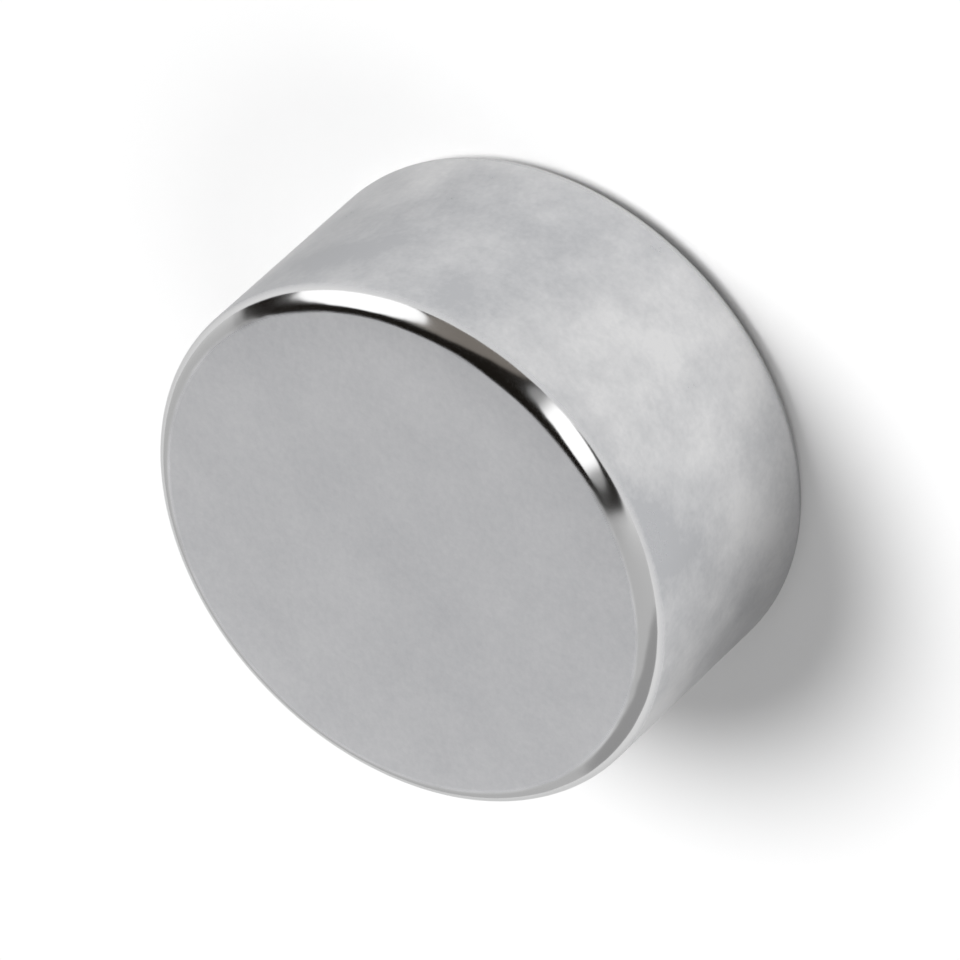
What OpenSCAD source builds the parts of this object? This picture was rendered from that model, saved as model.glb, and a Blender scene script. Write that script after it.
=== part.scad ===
// Disc magnet: a short sintered cylinder, plated all over, magnetised through
// its thickness. It stands on one flat face at z = 0, with its axis along Z.
// All sizes are in millimetres and are taken over the plating.

/* [Disc] */
// Diameter of the disc
disc_d = 10; // [4:0.5:30]
// Thickness of the disc, from flat face to flat face
disc_t = 5; // [2:0.5:20]

/* [Rims] */
// Radius of the tumbled round where each flat face meets the side wall
rim_r = 0.4; // [0.1:0.05:0.9]

/* [Hidden] */

// Facets in a full turn, of the disc and of the round on its rims
disc_fn = 192;
rim_fn = 64;

// Flat part of each face, and straight part of the side wall
face_r = disc_d / 2 - rim_r;
wall_h = disc_t - 2 * rim_r;

// The round of one rim in the half section, standing at height z
module rim_round(z) {
    translate([face_r, z])
        circle(r = rim_r, $fn = rim_fn);
}

// Half section of the disc, to the right of its axis: the flat faces are the
// ends of the narrow block, the side wall is the outside of the wide one, and
// the rounds run tangent into both
module half_section() {
    square([face_r, disc_t]);
    translate([0, rim_r])
        square([disc_d / 2, wall_h]);
    rim_round(rim_r);
    rim_round(disc_t - rim_r);
}

module magnet() {
    color("silver")
        rotate_extrude($fn = disc_fn)
            half_section();
}

magnet();
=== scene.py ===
"""Disc magnet, nickel plated, standing on one flat end in a small light tent."""

import math
import bmesh
import bpy
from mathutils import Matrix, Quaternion, Vector


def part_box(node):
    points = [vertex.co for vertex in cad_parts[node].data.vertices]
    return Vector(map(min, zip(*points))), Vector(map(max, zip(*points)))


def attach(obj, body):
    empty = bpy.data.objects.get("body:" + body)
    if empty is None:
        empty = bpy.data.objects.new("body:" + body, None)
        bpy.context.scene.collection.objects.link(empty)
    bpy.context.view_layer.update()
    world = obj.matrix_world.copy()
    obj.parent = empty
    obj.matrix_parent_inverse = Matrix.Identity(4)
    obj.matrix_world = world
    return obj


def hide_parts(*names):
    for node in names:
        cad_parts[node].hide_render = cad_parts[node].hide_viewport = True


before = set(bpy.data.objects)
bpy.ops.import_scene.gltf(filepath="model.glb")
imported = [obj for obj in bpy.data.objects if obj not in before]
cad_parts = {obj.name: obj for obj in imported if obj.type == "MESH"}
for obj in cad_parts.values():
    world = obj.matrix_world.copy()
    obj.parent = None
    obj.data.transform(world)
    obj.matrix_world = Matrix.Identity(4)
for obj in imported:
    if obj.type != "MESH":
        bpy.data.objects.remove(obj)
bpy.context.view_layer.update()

bl_info = {
    "name": "Disc Magnet",
    "version": (1, 0, 0),
    "blender": (4, 5, 0),
    "location": "3D View > Sidebar > Disc Magnet",
    "description": "Builds a nickel plated disc magnet and the light tent it is shown in",
    "category": "Object",
}

LOWEST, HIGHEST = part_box("magnet")
MICRON = 0.000001


class DiscShape(bpy.types.PropertyGroup):
    """Sizes of the disc, over its plating."""

    diameter: bpy.props.FloatProperty(
        name="Diameter",
        description="Diameter of the side wall",
        default=HIGHEST.x - LOWEST.x,
        min=0.002,
        unit="LENGTH",
    )
    thickness: bpy.props.FloatProperty(
        name="Thickness",
        description="From one flat face to the other",
        default=HIGHEST.z - LOWEST.z,
        min=0.001,
        unit="LENGTH",
    )
    rim_radius: bpy.props.FloatProperty(
        name="Rim radius",
        description="Radius of the tumbled round between a face and the side wall",
        default=0.0004,
        min=0.0001,
        unit="LENGTH",
    )
    facets: bpy.props.IntProperty(
        name="Facets",
        description="Facets in one turn of the disc",
        default=288,
        min=48,
    )
    rim_steps: bpy.props.IntProperty(
        name="Rim steps",
        description="Facets across the round of a rim",
        default=16,
        min=4,
    )


class PlateFinish(bpy.types.PropertyGroup):
    """Looks of the nickel plating."""

    colour: bpy.props.FloatVectorProperty(
        name="Plate colour",
        description="Colour of the light that the nickel mirrors",
        subtype="COLOR",
        size=3,
        default=(0.57, 0.572, 0.581),
        min=0,
        max=1,
    )
    satin: bpy.props.FloatProperty(
        name="Satin roughness",
        description="Roughness of the faces and of the side wall",
        default=0.31,
        min=0,
        max=1,
        subtype="FACTOR",
    )
    bright: bpy.props.FloatProperty(
        name="Rim roughness",
        description="Roughness of the burnished rims",
        default=0.13,
        min=0,
        max=1,
        subtype="FACTOR",
    )
    cloud: bpy.props.FloatProperty(
        name="Cloud size",
        description="Size of the faint clouds in the satin",
        default=0.0014,
        min=0.0001,
        unit="LENGTH",
    )
    # Partly painted highlight: the pattern picked here puts a lighter patch of the broad unevenness
    # where the camera sees the side wall
    drift_and_highlight: bpy.props.FloatProperty(
        name="Drift",
        description="Which of its patterns the broad unevenness of the satin takes",
        default=6.5,
    )
    grain: bpy.props.FloatProperty(
        name="Grain size",
        description="Size of the fine grain in the satin",
        default=0.00011,
        min=0.00001,
        unit="LENGTH",
    )


class LightTent(bpy.types.PropertyGroup):
    """Camera, floor and light round the disc."""

    camera_turn: bpy.props.FloatProperty(
        name="Camera turn",
        description="Where the camera stands round the disc",
        default=math.radians(237),
        subtype="ANGLE",
    )
    camera_rise: bpy.props.FloatProperty(
        name="Camera rise",
        description="Height of the camera over the floor, as an angle",
        default=math.radians(43.2),
        subtype="ANGLE",
    )
    camera_roll: bpy.props.FloatProperty(
        name="Camera roll",
        description="How far the picture is turned, counter-clockwise",
        default=math.radians(132.7),
        subtype="ANGLE",
    )
    camera_reach: bpy.props.FloatProperty(
        name="Camera distance",
        description="From the camera to the middle of the disc",
        default=0.225,
        min=0.05,
        unit="LENGTH",
    )
    lens: bpy.props.FloatProperty(
        name="Lens",
        description="Focal length on a sensor 36 mm wide, in millimetres",
        default=500,
        min=20,
    )
    fill: bpy.props.FloatProperty(
        name="Fill",
        description="Even light of the tent on matt things",
        default=0.26,
        min=0,
    )
    key: bpy.props.FloatProperty(
        name="Key lamp",
        description="Strength of the lamp on the soft box's side",
        default=2.65,
        min=0,
    )
    second: bpy.props.FloatProperty(
        name="Second lamp",
        description="Strength of the lamp on the other side",
        default=0.5,
        min=0,
    )
    lamp_spread: bpy.props.FloatProperty(
        name="Lamp spread",
        description="How wide the two lamps look from the disc, which softens the shadows",
        default=math.radians(34),
        subtype="ANGLE",
    )
    floor_colour: bpy.props.FloatVectorProperty(
        name="Floor colour",
        description="Colour of the white board under the disc",
        subtype="COLOR",
        size=3,
        default=(0.93, 0.93, 0.93),
        min=0,
        max=1,
    )


class Wire:
    """A number or a colour on its way through a shader. Maths on it adds Math nodes."""

    def __init__(self, shader, socket):
        self.shader = shader
        self.socket = socket

    def __add__(self, other):
        return self.shader.maths("ADD", self, other)

    def __radd__(self, other):
        return self.shader.maths("ADD", other, self)

    def __sub__(self, other):
        return self.shader.maths("SUBTRACT", self, other)

    def __rsub__(self, other):
        return self.shader.maths("SUBTRACT", other, self)

    def __mul__(self, other):
        return self.shader.maths("MULTIPLY", self, other)

    def __rmul__(self, other):
        return self.shader.maths("MULTIPLY", other, self)

    def __truediv__(self, other):
        return self.shader.maths("DIVIDE", self, other)

    def __rtruediv__(self, other):
        return self.shader.maths("DIVIDE", other, self)

    def __pow__(self, other):
        return self.shader.maths("POWER", self, other)

    def __abs__(self):
        return self.shader.maths("ABSOLUTE", self)

    def either(self, other):
        return self.shader.maths("MAXIMUM", self, other)

    def rise(self, low, high):
        """0 below low and 1 above high, with a smooth step between them."""
        node = self.shader.add(
            "ShaderNodeMapRange",
            {"interpolation_type": "SMOOTHSTEP"},
            {"Value": self, "From Min": low, "From Max": high},
        )
        return node["Result"]


class Outputs:
    """The outputs of a node, by name or by number, as wires."""

    def __init__(self, shader, node):
        self.shader = shader
        self.node = node

    def __getitem__(self, key):
        return Wire(self.shader, self.node.outputs[key])


class Shader:
    """The node tree of one material or of the world, empty at first."""

    def __init__(self, owner):
        owner.use_nodes = True
        self.tree = owner.node_tree
        self.tree.nodes.clear()

    def add(self, kind, settings=None, sockets=None):
        """Adds a node, sets it, and then gives its sockets their values or their wires."""
        node = self.tree.nodes.new(kind)
        for name, value in (settings or {}).items():
            setattr(node, name, value)
        for key, value in (sockets or {}).items():
            if isinstance(value, Wire):
                self.tree.links.new(value.socket, node.inputs[key])
            else:
                node.inputs[key].default_value = value
        return Outputs(self, node)

    def maths(self, operation, *values):
        node = self.add("ShaderNodeMath", {"operation": operation}, dict(enumerate(values)))
        return node[0]

    def mix(self, share, first, second):
        """A colour between first and second."""
        # A Mix node has these sockets once for each type: the colours are 6, 7 and 2
        node = self.add(
            "ShaderNodeMix",
            {"data_type": "RGBA"},
            {0: share, 6: first, 7: second},
        )
        return node[2]

    def noise(self, place, size, detail=2.0, roughness=0.5, variant=0.0):
        """Noise from 0 to 1 with lumps of that size in metres; each variant is another one."""
        node = self.add(
            "ShaderNodeTexNoise",
            {"noise_dimensions": "4D"},
            {
                "Vector": place,
                "W": variant,
                "Scale": 1 / size,
                "Detail": detail,
                "Roughness": roughness,
            },
        )
        return node["Fac"]


def grey(value):
    return (value, value, value, 1.0)


def tinted(colour, shares):
    """That colour with each of its three parts times a share, as a shader takes it."""
    red, green, blue = [part * share for part, share in zip(colour, shares)]
    return (red, green, blue, 1.0)


def nickel_plate(shape, finish):
    """Satin nickel on the faces and the wall, burnished on the rims, which knock in tumbling."""
    material = bpy.data.materials.new("nickel_plate")
    shader = Shader(material)
    place = shader.add("ShaderNodeTexCoord")["Object"]
    axes = shader.add("ShaderNodeSeparateXYZ", None, {"Vector": place})
    x, y, z = axes["X"], axes["Y"], axes["Z"]
    from_axis = (x * x + y * y) ** 0.5
    from_middle = abs(z - shape.thickness / 2)

    # Noise from -0.5 to 0.5
    clouds = shader.noise(place, finish.cloud, detail=6.0, roughness=0.62) - 0.5
    grain = shader.noise(place, finish.grain, detail=2.0, roughness=0.6) - 0.5
    waves = shader.noise(place, finish.cloud * 0.45, detail=1.0, roughness=0.4) - 0.5

    # Round the rim, outward goes from 0 at the face to 1 at the wall, and endward from 0 at
    # the wall to 1 at the face
    face_edge = shape.diameter / 2 - shape.rim_radius
    wall_end = shape.thickness / 2 - shape.rim_radius
    outward = (from_axis - face_edge) / shape.rim_radius
    endward = (from_middle - wall_end) / shape.rim_radius
    wall = outward.rise(0.3, 0.9) * (1 - endward.rise(0.0, 0.35))

    # The burnish is full in the middle of the rim and dies away to both sides, unevenly
    wander = clouds * 0.25
    burnish = (outward + wander).rise(0.0, 0.24) * (endward + wander).rise(0.04, 0.5)
    satiny = 1 - burnish

    # Clouds are plain on the ground side wall and hardly seen on the lapped faces. The broad
    # unevenness is strongest on the wall too, and is partly painted highlight: its pattern is picked
    # so that a lighter patch falls where the camera sees the side wall
    drift_and_highlight = shader.noise(place, finish.cloud * 2.6, variant=finish.drift_and_highlight) - 0.5
    clouds_and_highlight = clouds * (0.6 + wall * 1.75) + drift_and_highlight * (0.25 + wall * 2.1)
    share = 0.5 + clouds_and_highlight * satiny + grain * satiny * 0.6
    darker = tinted(finish.colour, (0.81, 0.817, 0.83))
    lighter = tinted(finish.colour, (1.19, 1.183, 1.17))
    polished = tinted(finish.colour, (1.14, 1.135, 1.12))
    plate = shader.mix(burnish ** 3, shader.mix(share, darker, lighter), polished)

    satin = finish.satin + clouds * wall * 0.2 + grain * 0.04
    roughness = satin * satiny + burnish * finish.bright

    # Heights in microns: grain and low waves in the satin, faint dents round the rim
    height = grain * satiny * 0.5 + waves * (burnish * 9.0 + wall * 4.0 + 0.4)
    bump = shader.add(
        "ShaderNodeBump",
        None,
        {"Strength": 1.0, "Distance": MICRON, "Height": height},
    )
    metal = shader.add(
        "ShaderNodeBsdfPrincipled",
        None,
        {
            "Base Color": plate,
            "Metallic": 1.0,
            "Roughness": roughness,
            "Normal": bump["Normal"],
            "Specular Tint": grey(0.72),
        },
    )
    shader.add("ShaderNodeOutputMaterial", None, {"Surface": metal["BSDF"]})
    return material


def white_board(tent):
    """Matt white card under the disc."""
    material = bpy.data.materials.new("white_board")
    shader = Shader(material)
    card = shader.add("ShaderNodeBsdfDiffuse", None, {"Color": (*tent.floor_colour, 1.0)})
    shader.add("ShaderNodeOutputMaterial", None, {"Surface": card["BSDF"]})
    return material


def light_tent(scene, tent):
    """The tent's walls as light from all round, with its soft boxes, cloth, flap and flag."""
    world = bpy.data.worlds.new("light_tent")
    scene.world = world
    shader = Shader(world)
    place = shader.add("ShaderNodeTexCoord")["Generated"]
    axes = shader.add("ShaderNodeSeparateXYZ", None, {"Vector": place})
    east, north, up = axes["X"], axes["Y"], axes["Z"]
    sine, cosine = math.sin(tent.camera_turn), math.cos(tent.camera_turn)
    ahead = east * sine - north * cosine
    beside = east * cosine + north * sine
    elevation = shader.maths("ARCSINE", up) * math.degrees(1)

    # Every direction has a facet of the disc that mirrors it to the camera. The parts of
    # the tent are hung by that facet's turn from the camera and its tilt from level, in
    # degrees: a flat face has a tilt of 0, and the side wall has 90.
    forward = ahead + math.cos(tent.camera_rise)
    upward = up + math.sin(tent.camera_rise)
    level = (forward * forward + beside * beside) ** 0.5
    turn = shader.maths("ARCTAN2", beside, forward) * math.degrees(1)
    tilt = shader.maths("ARCTAN2", level, upward) * math.degrees(1)

    def patch(turn_mid, half_turn, tilt_mid, half_tilt, power, soft, lean=0.0):
        """A part with that middle and those half sizes: an ellipse at power 2, squarer with
        more. Lean is how much its tilt goes up with its turn."""
        across = (turn - turn_mid) / half_turn
        along = (tilt - tilt_mid - (turn - turn_mid) * lean) / half_tilt
        return 1 - (abs(across) ** power + abs(along) ** power).rise(1 - soft, 1 + soft)

    back_wall = 1 - tilt.rise(4, 16)
    black_cloth = patch(27, 51.5, 38.5, 34, power=5.0, soft=0.15)
    brown_flap = patch(22, 14, 56, 21, power=2.5, soft=0.4, lean=-1.2)
    strip_light = patch(-6, 12, 46, 20, power=2.6, soft=0.12, lean=0.7)
    strip_bright = turn.rise(-17, -10) * (1 - turn.rise(-1, 5))
    strip_glow = shader.mix(strip_bright, grey(0.35), grey(1.72))
    soft_box = patch(47.5, 15.5, 48, 25, power=2.3, soft=0.1)
    grey_flag = patch(-70, 24, 58, 38, power=3.0, soft=0.3, lean=0.8)
    past_board = 1 - elevation.rise(1, 2.5)

    # The tent is plain and pale: grey high up, and near the board white or, on the side
    # that the shadow falls to, dull
    dull_side = 1 - turn.rise(-38, -20)
    low_wall = shader.mix(dull_side, grey(1.0), grey(0.7))
    light = shader.mix(tilt.rise(18, 74), grey(0.66), low_wall)
    for part, colour in (
        (grey_flag, grey(0.42)),
        (back_wall, (1.03, 1.03, 1.04, 1.0)),
        (black_cloth, (0.012, 0.010, 0.008, 1.0)),
        (brown_flap, (0.26, 0.235, 0.21, 1.0)),
        (strip_light, strip_glow),
        (soft_box, grey(1.64)),
        (past_board, grey(1.0)),
    ):
        light = shader.mix(part, light, colour)

    # Mirrors and the camera see the tent itself, and matt things get its even fill
    seen = shader.add("ShaderNodeLightPath")
    looked_at = seen["Is Camera Ray"].either(seen["Is Glossy Ray"])
    looked_at = looked_at.either(seen["Is Transmission Ray"])
    tent_seen = shader.add("ShaderNodeBackground", None, {"Color": light, "Strength": 1.0})
    tent_fill = shader.add("ShaderNodeBackground", None, {"Color": grey(1.0), "Strength": tent.fill})
    both = shader.add(
        "ShaderNodeMixShader",
        None,
        {0: looked_at, 1: tent_fill["Background"], 2: tent_seen["Background"]},
    )
    shader.add("ShaderNodeOutputWorld", None, {"Surface": both["Shader"]})


def pointing_back(turn, rise):
    """Unit vector from the disc, at that turn round it and that height over the floor."""
    level = math.cos(rise)
    return Vector((math.sin(turn) * level, -math.cos(turn) * level, math.sin(rise)))


def soft_lamp(name, tent, turn_deg, rise_deg, strength):
    """A lamp outside the tent, that only lights the board and gives the disc its shadow."""
    towards = pointing_back(tent.camera_turn + math.radians(turn_deg), math.radians(rise_deg))
    bpy.ops.object.light_add(type="SUN", rotation=towards.to_track_quat("Z", "Y").to_euler())
    lamp = bpy.context.active_object
    lamp.name = lamp.data.name = name
    lamp.data.energy = strength
    lamp.data.angle = tent.lamp_spread
    lamp.visible_glossy = False


def start_mesh(name):
    """Names the primitive that was just added, and starts to edit it."""
    piece = bpy.context.active_object
    piece.name = piece.data.name = name
    bpy.ops.object.mode_set(mode="EDIT")
    return piece


def pick(piece, kind, wanted):
    """Selects the faces or the edges that are wanted, and nothing else."""
    bpy.ops.mesh.select_all(action="DESELECT")
    bpy.ops.mesh.select_mode(type=kind)
    mesh = bmesh.from_edit_mesh(piece.data)
    for item in mesh.faces if kind == "FACE" else mesh.edges:
        if wanted(item):
            item.select_set(True)
    bmesh.update_edit_mesh(piece.data)


class MESH_OT_disc_magnet(bpy.types.Operator):
    """Adds the disc magnet: a cylinder whose rims are rounded, with its plating"""

    bl_idname = "mesh.disc_magnet"
    bl_label = "Disc Magnet"
    bl_options = {"REGISTER", "UNDO"}

    def execute(self, context):
        shape = context.scene.disc_shape
        finish = context.scene.plate_finish
        bottom, top = LOWEST.z, LOWEST.z + shape.thickness
        bpy.ops.object.select_all(action="DESELECT")
        bpy.ops.mesh.primitive_cylinder_add(
            vertices=shape.facets,
            radius=shape.diameter / 2,
            depth=shape.thickness,
            location=(0, 0, (bottom + top) / 2),
        )
        bpy.ops.object.transform_apply(location=True, rotation=True, scale=True)
        piece = start_mesh("disc_magnet")

        def on_rim(edge):
            ends = [v.co.z for v in edge.verts]
            return max(ends) < bottom + MICRON or min(ends) > top - MICRON

        def on_end(face):
            return abs(face.normal.z) > 0.9999

        # The edges round both ends become the rims, a quarter of a circle in section
        pick(piece, "EDGE", on_rim)
        bpy.ops.mesh.bevel(
            offset=shape.rim_radius,
            segments=shape.rim_steps,
            profile=0.5,
            affect="EDGES",
        )

        # Each flat face becomes rings round a fan of the same width
        rings = 4
        pick(piece, "FACE", on_end)
        ring_width = (shape.diameter / 2 - shape.rim_radius) / (rings + 1)
        for _ in range(rings):
            bpy.ops.mesh.inset(thickness=ring_width, depth=0)
        bpy.ops.mesh.poke()

        # The side wall becomes bands
        bands = 6
        wall_height = shape.thickness - 2 * shape.rim_radius
        for cut in range(1, bands):
            bpy.ops.mesh.select_all(action="SELECT")
            bpy.ops.mesh.bisect(
                plane_co=(0, 0, bottom + shape.rim_radius + wall_height * cut / bands),
                plane_no=(0, 0, 1),
            )

        bpy.ops.mesh.select_all(action="SELECT")
        bpy.ops.mesh.normals_make_consistent(inside=False)
        bpy.ops.object.mode_set(mode="OBJECT")
        bpy.ops.object.shade_smooth()
        bpy.ops.object.modifier_add(type="WEIGHTED_NORMAL")
        bpy.ops.object.modifier_apply(modifier=piece.modifiers[0].name)

        piece.data.materials.append(nickel_plate(shape, finish))
        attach(piece, "root")
        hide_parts("magnet")
        return {"FINISHED"}


class SCENE_OT_light_tent(bpy.types.Operator):
    """Sets up the floor, the light and the camera round the disc magnet"""

    bl_idname = "scene.light_tent"
    bl_label = "Light Tent"
    bl_options = {"REGISTER", "UNDO"}

    def execute(self, context):
        scene = context.scene
        tent = scene.light_tent
        bpy.ops.object.select_all(action="DESELECT")
        bpy.ops.mesh.primitive_plane_add(size=8, location=(0, 0, LOWEST.z))
        floor = context.active_object
        floor.name = floor.data.name = "white_board"
        floor.data.materials.append(white_board(tent))

        light_tent(scene, tent)
        soft_lamp("key_lamp", tent, turn_deg=84, rise_deg=60, strength=tent.key)
        soft_lamp("second_lamp", tent, turn_deg=-75, rise_deg=50, strength=tent.second)

        middle = (LOWEST + HIGHEST) / 2
        back = pointing_back(tent.camera_turn, tent.camera_rise)
        upright = (-back).to_track_quat("-Z", "Y")
        rolled = upright @ Quaternion((0, 0, 1), -tent.camera_roll)
        bpy.ops.object.camera_add(
            location=middle + back * tent.camera_reach,
            rotation=rolled.to_euler(),
        )
        camera = context.active_object
        camera.data.lens = tent.lens
        camera.data.sensor_width = 36
        camera.data.clip_start = 0.01
        camera.data.clip_end = 20
        scene.camera = camera
        scene.view_settings.view_transform = "Standard"
        return {"FINISHED"}


class VIEW3D_PT_disc_magnet(bpy.types.Panel):
    """Panel with the sizes, the finish and the buttons"""

    bl_idname = "VIEW3D_PT_disc_magnet"
    bl_label = "Disc Magnet"
    bl_space_type = "VIEW_3D"
    bl_region_type = "UI"
    bl_category = "Disc Magnet"

    def draw(self, context):
        for title, settings in (
            ("Disc", context.scene.disc_shape),
            ("Plating", context.scene.plate_finish),
            ("Light tent", context.scene.light_tent),
        ):
            box = self.layout.box()
            box.label(text=title)
            for name in settings.bl_rna.properties.keys():
                if name not in ("rna_type", "name"):
                    box.prop(settings, name)
        self.layout.operator(MESH_OT_disc_magnet.bl_idname)
        self.layout.operator(SCENE_OT_light_tent.bl_idname)


CLASSES = (
    DiscShape,
    PlateFinish,
    LightTent,
    MESH_OT_disc_magnet,
    SCENE_OT_light_tent,
    VIEW3D_PT_disc_magnet,
)


def register():
    for cls in CLASSES:
        bpy.utils.register_class(cls)
    bpy.types.Scene.disc_shape = bpy.props.PointerProperty(type=DiscShape)
    bpy.types.Scene.plate_finish = bpy.props.PointerProperty(type=PlateFinish)
    bpy.types.Scene.light_tent = bpy.props.PointerProperty(type=LightTent)


def unregister():
    del bpy.types.Scene.light_tent
    del bpy.types.Scene.plate_finish
    del bpy.types.Scene.disc_shape
    for cls in reversed(CLASSES):
        bpy.utils.unregister_class(cls)


def main():
    register()
    bpy.ops.mesh.disc_magnet()
    bpy.ops.scene.light_tent()


if __name__ == "__main__":
    main()
